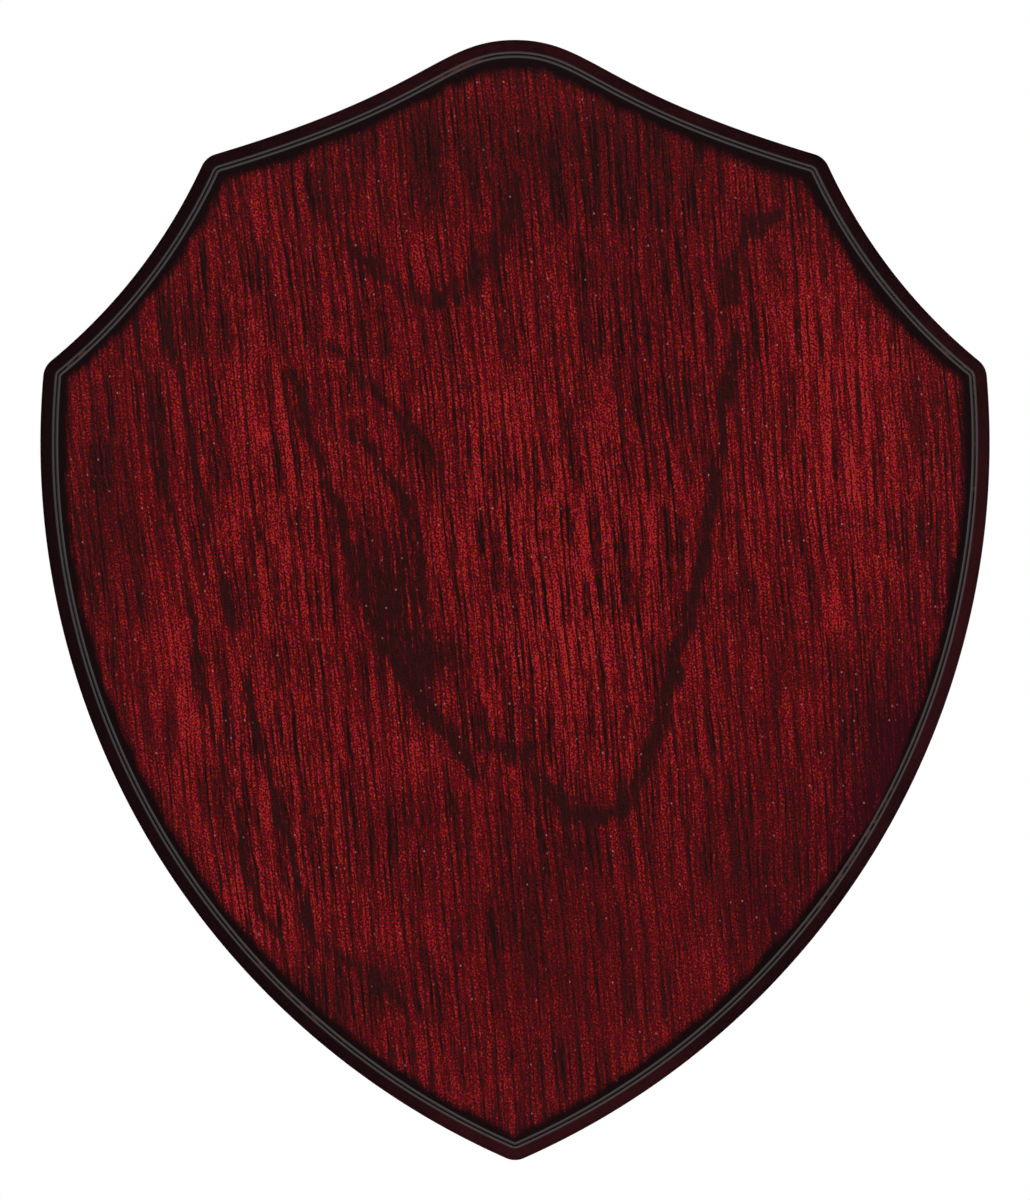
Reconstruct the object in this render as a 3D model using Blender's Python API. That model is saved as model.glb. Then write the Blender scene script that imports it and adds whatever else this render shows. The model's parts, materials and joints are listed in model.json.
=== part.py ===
"""Shield-shaped wooden award plaque with a piano-finish face, a moulded edge and a keyhole hanger.

The plaque hangs on a wall. +Z is up, the face looks along -Y and the wall is the plane y = 0.
The origin is on the wall plane, on the axis of the wall screw that the plaque hangs from.
All sizes are in metres.

Layers, from the wall outwards: rubber pads, back veneer, fibreboard core, face veneer.
The hanger is a steel keyhole plate let into the back, held by two countersunk wood screws.
"""

import math

import bmesh
import bpy
from mathutils import Vector

# ---- Driving dimensions of the shield, heights measured from the bottom tip --------------------
HEIGHT = 0.254
HANG_HEIGHT = 0.214

# The construction line runs EDGE_OFFSET inside the outer edge. Every outline is an offset of it,
# so its three sharp corners become arcs as the offset grows.
EDGE_OFFSET = 0.005
CROWN_TOP = Vector((0.0, HEIGHT - EDGE_OFFSET))
CROWN_HANDLE = 0.0151
SHOULDER_CORNER = Vector((0.0665, 0.2233))
SHOULDER_HANDLE = 0.0517
SHOULDER_SLOPE = math.radians(16.6)
EAR_CORNER = Vector((0.1020, 0.1774))
HOLLOW_SAGITTA = -0.0033
FLANK_SAGITTA = 0.0321
TIP = Vector((0.0, EDGE_OFFSET))

CROWN_STEPS = 18
HOLLOW_STEPS = 8
FLANK_STEPS = 48
CORNER_STEPS = 4

# ---- Depths, measured from the wall plane ------------------------------------------------------
BOND = 0.0001
PAD_THICKNESS = 0.0019
BACK_REAR = PAD_THICKNESS + BOND
VENEER = 0.0006
CORE_REAR = BACK_REAR + VENEER + BOND
CORE_THICKNESS = 0.015
CORE_FRONT = CORE_REAR + CORE_THICKNESS
FACE_REAR = CORE_FRONT + BOND
FACE_FRONT = FACE_REAR + VENEER

# ---- Moulded edge: a round-over below a small step ---------------------------------------------
STEP_HEIGHT = 0.0012
STEP_OFFSET = 0.0015
QUIRK_WIDTH = 0.0001
ARRIS_RADIUS = 0.00035
BACK_ARRIS = 0.0003
ROUND_DROP = 0.0036
ROUND_STEPS = 7
ARRIS_STEPS = 3

# ---- Keyhole hanger plate ----------------------------------------------------------------------
PLATE_THICKNESS = 0.0015
PLATE_RADIUS = 0.0085
PLATE_LENGTH = 0.044
PLATE_CHAMFER = 0.0003
SLOT_RADIUS = 0.0025
ENTRY_RADIUS = 0.00475
ENTRY_DROP = 0.0095
KEYHOLE_MIDDLE = (SLOT_RADIUS - ENTRY_DROP - ENTRY_RADIUS) / 2
SCREW_SPACING = 0.033
RECESS_CLEARANCE = 0.0003
POCKET_RADIUS = 0.00575
POCKET_DEPTH = 0.008
ROUND_SIDES = 24

# ---- Countersunk wood screw --------------------------------------------------------------------
SCREW_LENGTH = 0.0127
HEAD_RADIUS = 0.0031
HEAD_RIM = 0.0002
SHANK_RADIUS = 0.0014
THREAD_CORE_RADIUS = 0.0010
THREAD_CREST_RADIUS = 0.0015
THREAD_PITCH = 0.0013
THREAD_START = 0.0035
POINT_LENGTH = 0.0022
POINT_START_SHARE = 0.8
POINT_END_SHARE = 0.1
SCREW_SIDES = 14
RINGS_PER_TURN = 4
SCREW_HOLE_RADIUS = 0.0018
COUNTERSINK_RADIUS = 0.00345
DRIVE_SPAN = 0.0018
DRIVE_WIDTH = 0.0009
DRIVE_DEPTH = 0.0016
DRIVE_MOUTH_SHARE = 1.4
DRIVE_FLOOR_SHARE = 0.35
HOLE_SPARE_DEPTH = 0.0003
CUT_MARGIN = 0.001

# ---- Wall pads, heights measured from the bottom tip -------------------------------------------
PAD_RADIUS = 0.006
PAD_EDGE = 0.0005
PAD_EDGE_STEPS = 2
PAD_PLACES = {
    "wall_pad_left": (-0.080, 0.170),
    "wall_pad_right": (0.080, 0.170),
    "wall_pad_bottom": (0.0, 0.026),
}

MERGE_DISTANCE = 1e-7
SHARP_ANGLE = math.radians(30)

# name: (red, green, blue), roughness, metallic
FINISHES = {
    "edge_lacquer": ((0.018, 0.005, 0.006), 0.18, 0.0),
    "rosewood_face": ((0.16, 0.008, 0.010), 0.12, 0.0),
    "back_stain": ((0.030, 0.010, 0.008), 0.45, 0.0),
    "plated_steel": ((0.62, 0.60, 0.56), 0.32, 1.0),
    "screw_steel": ((0.70, 0.62, 0.40), 0.30, 1.0),
    "pad_rubber": ((0.025, 0.025, 0.026), 0.70, 0.0),
}


# ---- Scene helpers -----------------------------------------------------------------------------
def clear_scene():
    for obj in list(bpy.data.objects):
        bpy.data.objects.remove(obj, do_unlink=True)


def finish(name):
    """The Principled material of that finish, made once."""
    found = bpy.data.materials.get(name)
    if found:
        return found
    colour, roughness, metallic = FINISHES[name]
    made = bpy.data.materials.new(name)
    made.use_nodes = True
    shader = made.node_tree.nodes["Principled BSDF"]
    shader.inputs["Base Color"].default_value = (*colour, 1.0)
    shader.inputs["Roughness"].default_value = roughness
    shader.inputs["Metallic"].default_value = metallic
    return made


def add_object(name, bm, finish_name=None):
    """A mesh object from bm, its faces turned outwards. Without a finish it is a cutter."""
    bmesh.ops.remove_doubles(bm, verts=bm.verts, dist=MERGE_DISTANCE)
    bmesh.ops.recalc_face_normals(bm, faces=bm.faces)
    mesh = bpy.data.meshes.new(name)
    bm.to_mesh(mesh)
    bm.free()
    obj = bpy.data.objects.new(name, mesh)
    bpy.context.scene.collection.objects.link(obj)
    if finish_name:
        mesh.materials.append(finish(finish_name))
        mesh.shade_smooth()
        mesh.set_sharp_from_angle(angle=SHARP_ANGLE)
    else:
        obj.hide_render = True
        obj.display_type = "WIRE"
    return obj


def cut(target, cutter):
    modifier = target.modifiers.new("cut_" + cutter.name, "BOOLEAN")
    modifier.operation = "DIFFERENCE"
    modifier.object = cutter


# ---- Outlines ----------------------------------------------------------------------------------
def outward(tangent):
    """The outward normal of a line that runs clockwise, seen from the front."""
    return Vector((-tangent.y, tangent.x)).normalized()


def bezier_stations(start, start_handle, end_handle, end, steps):
    """(point, outward normal) at even parameters of a cubic curve."""
    stations = []
    for i in range(steps + 1):
        t = i / steps
        u = 1 - t
        point = (
            start * u**3
            + start_handle * 3 * u * u * t
            + end_handle * 3 * u * t * t
            + end * t**3
        )
        tangent = (
            (start_handle - start) * u * u
            + (end_handle - start_handle) * 2 * u * t
            + (end - end_handle) * t * t
        )
        stations.append((point, outward(tangent)))
    return stations


def arc_stations(start, end, sagitta, steps):
    """(point, outward normal) along an arc. A positive sagitta bulges outwards."""
    chord = end - start
    normal = outward(chord)
    radius = (chord.length_squared / 4 + sagitta**2) / (2 * sagitta)
    centre = (start + end) / 2 + normal * (sagitta - radius)
    half_turn = math.asin(chord.length / 2 / radius)
    stations = []
    for i in range(steps + 1):
        turn = half_turn * (1 - 2 * i / steps)
        direction = normal * math.cos(turn) - chord.normalized() * math.sin(turn)
        stations.append((centre + direction * radius, direction))
    return stations


def fan_stations(corner, before, after, steps):
    """Normals that swing round a corner, between the last one before it and the first after."""
    turn = before.angle_signed(after)
    stations = []
    for i in range(1, steps):
        angle = -turn * i / steps
        c, s = math.cos(angle), math.sin(angle)
        normal = Vector((before.x * c - before.y * s, before.x * s + before.y * c))
        stations.append((corner, normal))
    return stations


def construction_line():
    """(point, outward normal) clockwise round the whole shield, starting at the crown."""
    slope = Vector((math.cos(SHOULDER_SLOPE), -math.sin(SHOULDER_SLOPE)))
    crown = bezier_stations(
        CROWN_TOP,
        CROWN_TOP + Vector((CROWN_HANDLE, 0)),
        SHOULDER_CORNER - slope * SHOULDER_HANDLE,
        SHOULDER_CORNER,
        CROWN_STEPS,
    )
    hollow = arc_stations(SHOULDER_CORNER, EAR_CORNER, HOLLOW_SAGITTA, HOLLOW_STEPS)
    flank = arc_stations(EAR_CORNER, TIP, FLANK_SAGITTA, FLANK_STEPS)
    down = Vector((0, -1))
    half = [
        *crown,
        *fan_stations(SHOULDER_CORNER, crown[-1][1], hollow[0][1], CORNER_STEPS),
        *hollow,
        *fan_stations(EAR_CORNER, hollow[-1][1], flank[0][1], CORNER_STEPS),
        *flank,
        *fan_stations(TIP, flank[-1][1], down, CORNER_STEPS),
    ]
    mirrored = [
        (Vector((-point.x, point.y)), Vector((-normal.x, normal.y)))
        for point, normal in reversed(half[1:])
    ]
    return [*half, (TIP, down), *mirrored]


def shield_outline(offset):
    """The shield's outline at an offset from the construction line, as (x, z) about the origin."""
    drop = Vector((0, HANG_HEIGHT))
    return [point + normal * offset - drop for point, normal in construction_line()]


def stadium_outline(low, high, radius):
    """Two half circles about (0, low) and (0, high), joined by straight sides."""
    points = []
    for i in range(ROUND_SIDES + 1):
        angle = math.pi * i / ROUND_SIDES
        points.append(Vector((math.cos(angle) * radius, high + math.sin(angle) * radius)))
    for i in range(ROUND_SIDES + 1):
        angle = math.pi * (1 + i / ROUND_SIDES)
        points.append(Vector((math.cos(angle) * radius, low + math.sin(angle) * radius)))
    return points


def keyhole_outline():
    """A round entry hole with a narrower slot that rises out of it and ends round the origin."""
    join = math.asin(SLOT_RADIUS / ENTRY_RADIUS)
    points = []
    for i in range(ROUND_SIDES + 1):
        angle = math.pi * i / ROUND_SIDES
        points.append(Vector((math.cos(angle), math.sin(angle))) * SLOT_RADIUS)
    sweep = 2 * math.pi - 2 * join
    for i in range(ROUND_SIDES + 1):
        angle = math.pi / 2 + join + sweep * i / ROUND_SIDES
        entry = Vector((math.cos(angle), math.sin(angle))) * ENTRY_RADIUS
        points.append(entry + Vector((0, -ENTRY_DROP)))
    return points


# ---- Solids ------------------------------------------------------------------------------------
def skin(bm, rings):
    """Faces between neighbouring rings of equal length, and a flat cap on each end."""
    for first, second in zip(rings, rings[1:]):
        for i in range(len(first)):
            j = (i + 1) % len(first)
            bm.faces.new((first[i], first[j], second[j], second[i]))
    bm.faces.new(rings[0])
    bm.faces.new(rings[-1])


def loft(name, rings, finish_name=None):
    """A solid through (outline, depth) rings, each outline a list of (x, z)."""
    bm = bmesh.new()
    skin(bm, [[bm.verts.new((p.x, -depth, p.y)) for p in outline] for outline, depth in rings])
    return add_object(name, bm, finish_name)


def turned(name, profile, place, sides, finish_name=None):
    """A solid turned about a line along Y through place, from (radius, depth) pairs.

    A radius may be a function of the angle, as on a thread.
    """
    bm = bmesh.new()
    rings = []
    for radius, depth in profile:
        ring = []
        for i in range(sides):
            angle = 2 * math.pi * i / sides
            r = radius(angle) if callable(radius) else radius
            x = place[0] + math.cos(angle) * r
            z = place[1] + math.sin(angle) * r
            ring.append(bm.verts.new((x, -depth, z)))
        rings.append(ring)
    skin(bm, rings)
    return add_object(name, bm, finish_name)


def quarter_round(offset, depth, run, rise, steps):
    """(offset, depth) pairs from an edge's outer side up and in to its flat top."""
    pairs = []
    for i in range(steps + 1):
        angle = math.pi / 2 * i / steps
        pairs.append((offset + run * math.cos(angle), depth + rise * math.sin(angle)))
    return pairs


# ---- Layers of the board -----------------------------------------------------------------------
def make_core():
    shoulder = FACE_FRONT - STEP_HEIGHT
    round_start = STEP_OFFSET + QUIRK_WIDTH
    profile = [
        (EDGE_OFFSET, CORE_REAR),
        *quarter_round(
            round_start, shoulder - ROUND_DROP, EDGE_OFFSET - round_start, ROUND_DROP, ROUND_STEPS
        ),
        (STEP_OFFSET, shoulder),
        (STEP_OFFSET, CORE_FRONT),
    ]
    rings = [(shield_outline(offset), depth) for offset, depth in profile]
    return loft("core_board", rings, "edge_lacquer")


def make_face_veneer():
    profile = [
        (STEP_OFFSET, FACE_REAR),
        *quarter_round(
            STEP_OFFSET - ARRIS_RADIUS,
            FACE_FRONT - ARRIS_RADIUS,
            ARRIS_RADIUS,
            ARRIS_RADIUS,
            ARRIS_STEPS,
        ),
    ]
    rings = [(shield_outline(offset), depth) for offset, depth in profile]
    return loft("face_veneer", rings, "rosewood_face")


def make_back_veneer():
    rings = [
        (shield_outline(EDGE_OFFSET - BACK_ARRIS), BACK_REAR),
        (shield_outline(EDGE_OFFSET), BACK_REAR + BACK_ARRIS),
        (shield_outline(EDGE_OFFSET), BACK_REAR + VENEER),
    ]
    return loft("back_veneer", rings, "back_stain")


# ---- Hanger ------------------------------------------------------------------------------------
def plate_outline(grow):
    reach = PLATE_LENGTH / 2 - PLATE_RADIUS
    return stadium_outline(KEYHOLE_MIDDLE - reach, KEYHOLE_MIDDLE + reach, PLATE_RADIUS + grow)


def screw_places():
    return {
        "hanger_screw_upper": (0.0, KEYHOLE_MIDDLE + SCREW_SPACING / 2),
        "hanger_screw_lower": (0.0, KEYHOLE_MIDDLE - SCREW_SPACING / 2),
    }


def make_plate():
    rings = [
        (plate_outline(-PLATE_CHAMFER), BACK_REAR),
        (plate_outline(0), BACK_REAR + PLATE_CHAMFER),
        (plate_outline(0), BACK_REAR + PLATE_THICKNESS),
    ]
    plate = loft("keyhole_plate", rings, "plated_steel")
    near, far = BACK_REAR - CUT_MARGIN, BACK_REAR + PLATE_THICKNESS + CUT_MARGIN
    keyhole = keyhole_outline()
    cut(plate, loft("keyhole_cutter", [(keyhole, near), (keyhole, far)]))
    widening = COUNTERSINK_RADIUS - SCREW_HOLE_RADIUS
    profile = [
        (COUNTERSINK_RADIUS + CUT_MARGIN, BACK_REAR - CUT_MARGIN),
        (SCREW_HOLE_RADIUS, BACK_REAR + widening),
        (SCREW_HOLE_RADIUS, far + widening),
    ]
    for name, place in screw_places().items():
        cut(plate, turned(name + "_countersink", profile, place, ROUND_SIDES))
    return plate


def cut_hanger_room(core, back):
    """The plate's recess through the back veneer and into the core, the pocket for the wall
    screw's head behind it, and the holes for the plate's own screws."""
    recess_floor = BACK_REAR + PLATE_THICKNESS + BOND
    recess = plate_outline(RECESS_CLEARANCE)
    recess_cutter = loft(
        "recess_cutter", [(recess, BACK_REAR - CUT_MARGIN), (recess, recess_floor)]
    )
    cut(back, recess_cutter)
    cut(core, recess_cutter)
    pocket = stadium_outline(-ENTRY_DROP, 0.0, POCKET_RADIUS)
    pocket_floor = recess_floor + POCKET_DEPTH
    cut(core, loft("pocket_cutter", [(pocket, recess_floor - CUT_MARGIN / 2), (pocket, pocket_floor)]))
    bore = [
        (SCREW_HOLE_RADIUS, recess_floor - CUT_MARGIN / 2),
        (SCREW_HOLE_RADIUS, BACK_REAR + SCREW_LENGTH + HOLE_SPARE_DEPTH),
    ]
    for name, place in screw_places().items():
        cut(core, turned(name + "_bore", bore, place, ROUND_SIDES))


def thread_radius(depth, fade):
    """A radius that follows a helix, as a function of the angle. fade runs from 0 to 1."""

    def radius(angle):
        phase = (depth / THREAD_PITCH - angle / (2 * math.pi)) % 1.0
        crest = 1 - abs(2 * phase - 1)
        return THREAD_CORE_RADIUS + (THREAD_CREST_RADIUS - THREAD_CORE_RADIUS) * crest * fade

    return radius


def screw_profile():
    """(radius, depth) pairs of the head, the plain shank, the thread and the point."""
    cone = HEAD_RADIUS - SHANK_RADIUS
    profile = [
        (HEAD_RADIUS, 0.0),
        (HEAD_RADIUS, HEAD_RIM),
        (SHANK_RADIUS, HEAD_RIM + cone),
        (SHANK_RADIUS, THREAD_START - THREAD_PITCH / 2),
    ]
    step = THREAD_PITCH / RINGS_PER_TURN
    thread_end = SCREW_LENGTH - POINT_LENGTH
    rings = int((thread_end - THREAD_START) / step)
    for i in range(rings + 1):
        depth = THREAD_START + step * i
        profile.append((thread_radius(depth, min(1.0, i / RINGS_PER_TURN)), depth))
    profile.append((THREAD_CORE_RADIUS * POINT_START_SHARE, thread_end + step))
    profile.append((THREAD_CORE_RADIUS * POINT_END_SHARE, SCREW_LENGTH))
    return [(radius, BACK_REAR + depth) for radius, depth in profile]


def drive_cutter(name, place, along_x):
    """One arm pair of a cross recess: a slot that narrows towards its floor."""
    bm = bmesh.new()
    rings = []
    across = DRIVE_WIDTH / 2
    for share, depth in ((DRIVE_MOUTH_SHARE, -CUT_MARGIN / 2), (DRIVE_FLOOR_SHARE, DRIVE_DEPTH)):
        span = DRIVE_SPAN * share
        half_x, half_z = (span, across) if along_x else (across, span)
        corners = ((-half_x, -half_z), (half_x, -half_z), (half_x, half_z), (-half_x, half_z))
        rings.append(
            [bm.verts.new((place[0] + x, -BACK_REAR - depth, place[1] + z)) for x, z in corners]
        )
    skin(bm, rings)
    return add_object(name, bm)


def make_screws():
    for name, place in screw_places().items():
        screw = turned(name, screw_profile(), place, SCREW_SIDES, "screw_steel")
        cut(screw, drive_cutter(name + "_drive_x", place, True))
        cut(screw, drive_cutter(name + "_drive_z", place, False))


# ---- Pads --------------------------------------------------------------------------------------
def make_pads():
    edge = quarter_round(PAD_RADIUS - PAD_EDGE, PAD_EDGE, PAD_EDGE, -PAD_EDGE, PAD_EDGE_STEPS)
    profile = [*reversed(edge), (PAD_RADIUS, PAD_THICKNESS)]
    for name, (x, height) in PAD_PLACES.items():
        turned(name, profile, (x, height - HANG_HEIGHT), ROUND_SIDES, "pad_rubber")


def main():
    clear_scene()
    core = make_core()
    make_face_veneer()
    back = make_back_veneer()
    cut_hanger_room(core, back)
    make_plate()
    make_screws()
    make_pads()


main()
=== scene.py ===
"""Looks of the shield plaque: lacquered rosewood face, painted moulded edge, hanger and pads.

Depths are measured from the wall plane towards the viewer, heights from the bottom tip.
Lengths are metres, except in the wood's grain and figure, which are in millimetres.
"""

import json
import math

import bmesh
import bpy
import numpy as np
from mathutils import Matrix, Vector
from mathutils.geometry import delaunay_2d_cdt

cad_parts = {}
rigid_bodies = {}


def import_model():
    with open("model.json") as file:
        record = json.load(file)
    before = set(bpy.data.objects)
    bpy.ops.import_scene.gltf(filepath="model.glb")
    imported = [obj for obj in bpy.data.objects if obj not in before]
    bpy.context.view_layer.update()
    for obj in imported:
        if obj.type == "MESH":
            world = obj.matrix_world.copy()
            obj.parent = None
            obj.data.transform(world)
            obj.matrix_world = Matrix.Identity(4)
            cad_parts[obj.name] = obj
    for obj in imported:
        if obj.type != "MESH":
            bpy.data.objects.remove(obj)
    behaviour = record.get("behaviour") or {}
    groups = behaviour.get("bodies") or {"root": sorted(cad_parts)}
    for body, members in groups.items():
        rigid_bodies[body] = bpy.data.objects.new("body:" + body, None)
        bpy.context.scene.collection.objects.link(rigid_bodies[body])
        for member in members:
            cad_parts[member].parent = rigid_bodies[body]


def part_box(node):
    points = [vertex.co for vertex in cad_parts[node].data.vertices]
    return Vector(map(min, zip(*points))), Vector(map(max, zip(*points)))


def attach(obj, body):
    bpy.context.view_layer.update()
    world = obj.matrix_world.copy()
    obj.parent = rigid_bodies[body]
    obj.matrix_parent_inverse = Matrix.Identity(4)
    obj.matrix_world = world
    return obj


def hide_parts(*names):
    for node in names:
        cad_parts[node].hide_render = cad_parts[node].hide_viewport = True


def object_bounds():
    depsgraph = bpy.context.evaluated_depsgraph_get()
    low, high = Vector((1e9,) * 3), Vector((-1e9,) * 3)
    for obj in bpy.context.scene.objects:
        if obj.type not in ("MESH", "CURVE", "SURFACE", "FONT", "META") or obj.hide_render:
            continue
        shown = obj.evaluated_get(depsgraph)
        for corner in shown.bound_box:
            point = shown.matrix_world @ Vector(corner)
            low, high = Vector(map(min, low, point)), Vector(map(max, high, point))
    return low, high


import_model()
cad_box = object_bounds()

MM = 0.001

# ---- The shield, as in the CAD ------------------------------------------------------------------
HEIGHT = 0.254
HANG_HEIGHT = 0.214
EDGE_OFFSET = 0.005
CROWN_TOP = np.array([0.0, HEIGHT - EDGE_OFFSET])
CROWN_HANDLE = 0.0151
SHOULDER_CORNER = np.array([0.0665, 0.2233])
SHOULDER_HANDLE = 0.0517
SHOULDER_SLOPE = math.radians(16.6)
EAR_CORNER = np.array([0.1020, 0.1774])
HOLLOW_SAGITTA = -0.0033
FLANK_SAGITTA = 0.0321
TIP = np.array([0.0, EDGE_OFFSET])
CROWN_STEPS = 56
HOLLOW_STEPS = 44
FLANK_STEPS = 150
CORNER_STEPS = 10

# The fine outline keeps this little inside the CAD's, whose long sides are made of short chords.
OUTER_OFFSET = EDGE_OFFSET - 0.00001

# ---- Depths from the frame ----------------------------------------------------------------------
PAD_FRONT = -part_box("wall_pad_left")[0].y
BACK_REAR = -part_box("back_veneer")[1].y
BACK_FRONT = -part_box("back_veneer")[0].y
CORE_REAR = -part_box("core_board")[1].y
CORE_FRONT = -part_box("core_board")[0].y
FACE_FRONT = -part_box("face_veneer")[0].y
PLATE_FRONT = -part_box("keyhole_plate")[0].y

# ---- Moulding -----------------------------------------------------------------------------------
STEP_HEIGHT = 0.0012
STEP_OFFSET = 0.0015
QUIRK_WIDTH = 0.0001
ROUND_DROP = 0.0036
ROUND_STEPS = 26
LACQUER_ROLL = 0.0040
LACQUER_TILT = math.radians(13)
ROLL_POINTS = 15
ARRIS_RADIUS = 0.00012
ARRIS_POINTS = 8
BACK_ARRIS = 0.0003
REAR_EDGE_STEPS = 5
# Spacing of the corners that carry the figure, and how far they keep off the face's front ring.
FACE_GRID = 0.0010
GRID_CLEARANCE = 0.6 * FACE_GRID

# ---- Hanger, as in the CAD ----------------------------------------------------------------------
PLATE_RADIUS = 0.0085
PLATE_LENGTH = 0.044
PLATE_EDGE = 0.0003
SLOT_RADIUS = 0.0025
ENTRY_RADIUS = 0.00475
ENTRY_DROP = 0.0095
KEYHOLE_MIDDLE = (SLOT_RADIUS - ENTRY_DROP - ENTRY_RADIUS) / 2
KEYHOLE_EDGE = 0.00015
RECESS_CLEARANCE = 0.0003
RECESS_FLOOR = PLATE_FRONT + 0.0001
POCKET_RADIUS = 0.00575
POCKET_DEPTH = 0.008
COUNTERSINK_RADIUS = 0.00345
SCREW_HOLE_RADIUS = 0.0018
SCREW_LENGTH = 0.0127
HOLE_SPARE_DEPTH = 0.0003
HEAD_RADIUS = 0.0031
HEAD_RIM = 0.0002
HEAD_RIM_BEVEL = HEAD_RIM / 4
SHANK_RADIUS = 0.0014
THREAD_CORE_RADIUS = 0.0010
THREAD_CREST_RADIUS = 0.0015
THREAD_PITCH = 0.0013
THREAD_START = 0.0035
POINT_LENGTH = 0.0022
POINT_RADIUS = 0.0001
RINGS_PER_TURN = 12
DRIVE_DEPTH = 0.0015
# Half span, half width and inner fillet of the cross recess, at its mouth and at its floor.
DRIVE_MOUTH = (0.00185, 0.00042, 0.00022)
DRIVE_FLOOR = (0.00062, 0.00026, 0.00010)
FILLET_STEPS = 6
PAD_EDGE = 0.0005
ROUND_SIDES = 48
MERGE_DISTANCE = 1e-7
SHARP_ANGLE = math.radians(35)
# How many corners are measured at a time, which keeps the memory needed small.
BLOCK_SIZE = 2000


# ---- Figure of the veneer, in millimetres from the middle and from the bottom tip ---------------
# Dark growth lines as points to pass through, with a half width and how dark they are, up to 1.
# The veneer is flat sawn, so the main pair meets in a V.
FIGURE_LINES = [
    ([(-50, 177), (-46, 163), (-41, 149), (-36, 133), (-30, 118), (-22, 105), (-8, 87)], 1.7, 0.80),
    ([(-6, 95), (-1, 91), (3, 92)], 1.5, 0.60),
    ([(5, 87), (10, 80), (18, 77), (25, 81), (31, 93), (36, 112)], 1.9, 0.85),
    ([(36, 112), (42, 134), (45, 152), (47, 168), (50, 184)], 1.8, 0.80),
    ([(49, 194), (50, 203), (53, 210), (59, 213)], 1.8, 0.75),
    ([(-43, 185), (-35, 177), (-27, 169), (-17, 157)], 1.3, 0.62),
    ([(-36, 165), (-31, 158), (-25, 149), (-22, 136)], 1.7, 0.75),
    ([(-17, 194), (-9, 200), (-3, 208), (1, 220)], 2.6, 0.62),
    ([(-37, 206), (-30, 199), (-22, 195), (-17, 194)], 1.4, 0.46),
    ([(-45, 223), (-41, 212), (-36, 203)], 1.8, 0.36),
    ([(-86, 190), (-83, 172), (-80, 157), (-76, 139), (-71, 113)], 1.1, 0.72),
    ([(-71, 113), (-68, 97), (-63, 80), (-60, 63), (-54, 51)], 1.1, 0.70),
    ([(-79, 190), (-73, 162), (-69, 143), (-65, 126), (-61, 106)], 1.1, 0.70),
    ([(-61, 106), (-58, 97), (-54, 82), (-50, 68), (-47, 54)], 1.3, 0.80),
    ([(-47, 54), (-42, 48), (-33, 41), (-26, 36)], 1.6, 0.66),
]
# Places, as (across, up, half width, half height, amount): dark stains between the growth lines,
# softly darker and lighter areas, and areas whose vessel lines stand out more or less.
FIGURE_STAINS = [
    (-27, 129, 8, 12, 0.92),
    (-17, 114, 9, 6, 0.70),
    (-33, 204, 4, 3, 0.45),
    (7, 227, 3, 8, 0.42),
]
TONE_PLACES = [
    (86, 92, 12, 26, -0.18),
    (-93, 152, 5, 26, -0.14),
    (-74, 193, 10, 8, -0.10),
    (0, 228, 50, 16, -0.10),
    (30, 192, 16, 28, -0.10),
    (6, 62, 14, 22, -0.12),
    (55, 64, 10, 12, -0.14),
    (-40, 38, 16, 9, -0.14),
    (-30, 76, 6, 6, -0.12),
    (64, 138, 3, 14, -0.12),
    (92, 146, 2, 18, -0.10),
    (-77, 118, 4, 15, 0.16),
    (-70, 98, 4, 9, 0.12),
    (-58, 166, 6, 11, 0.12),
    (-14, 173, 13, 5, 0.11),
    (4, 166, 6, 7, 0.12),
    (11, 114, 8, 10, 0.12),
    (-21, 92, 6, 5, 0.11),
    (72, 165, 18, 38, 0.10),
    (80, 176, 4, 9, 0.12),
    (77, 154, 4, 7, 0.14),
    (73, 123, 4, 8, 0.10),
    (67, 104, 5, 7, 0.10),
    (-63, 62, 4, 9, 0.10),
    (-28, 52, 8, 5, 0.10),
    (26, 65, 11, 7, 0.07),
    (44, 46, 3, 8, 0.08),
]
TONE_CONTRAST = 1.3
VESSEL_PLACES = [
    (10, 135, 26, 42, 0.55),
    (-55, 150, 14, 50, 0.30),
    (-50, 80, 14, 30, 0.25),
    (20, 45, 40, 30, -0.35),
    (60, 95, 16, 40, -0.25),
    (72, 160, 20, 30, 0.15),
    (5, 228, 40, 14, -0.20),
    (-88, 150, 9, 40, -0.20),
]
VESSEL_CONTRAST = 0.93
# How many millimetres the dark spray reaches in from the face's edge, and where it does so further.
BURN_REACH = 2.4
BURN_PLACES = [
    (0, 250, 46, 12, 1.0),
    (-62, 226, 30, 12, 0.5),
    (64, 226, 26, 14, 1.0),
    (84, 200, 16, 18, 0.9),
    (82, 84, 14, 30, -1.3),
    (-70, 70, 14, 26, 0.3),
]
# Where the spray fades far into the face and veils the wood in purple.
VEIL_PLACES = [
    (88, 92, 9, 20, 0.62),
    (76, 74, 9, 14, 0.62),
    (60, 54, 12, 10, 0.42),
    (99, 128, 4, 22, 0.45),
    (2, 6, 14, 8, 0.25),
]
# Where the arris is rubbed through to the bare board, and how much.
RUB_PLACES = [
    (-14, 247, 14, 5, 0.75),
    (62, 220, 8, 5, 0.85),
    (-97, 178, 8, 8, 0.75),
    (97, 178, 6, 8, 0.70),
    (-52, 36, 34, 22, 0.50),
    (76, 70, 22, 40, 0.62),
    (30, 14, 26, 12, 0.40),
    (104, 150, 6, 26, 0.35),
]
# Where the painted edge is painted lighter and redder, as painted light falling on its top, right
# side and bottom.
LIT_EDGE_PLACES = [
    (0, 252, 90, 30, 0.55),
    (104, 120, 40, 90, 0.75),
    (20, 0, 60, 40, 0.85),
]
GRAIN_LEAN = 0.095
GRAIN_FAN = 0.00025
GRAIN_SWAY = 0.5
LINE_SWAY = 0.6
LINE_SAMPLES = 16
FEATHERING = 0.45
# A ripple is the sum of this many waves, which seldom goes past the range it is divided by.
RIPPLE_WAVES = 6
RIPPLE_RANGE = 3.5


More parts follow.
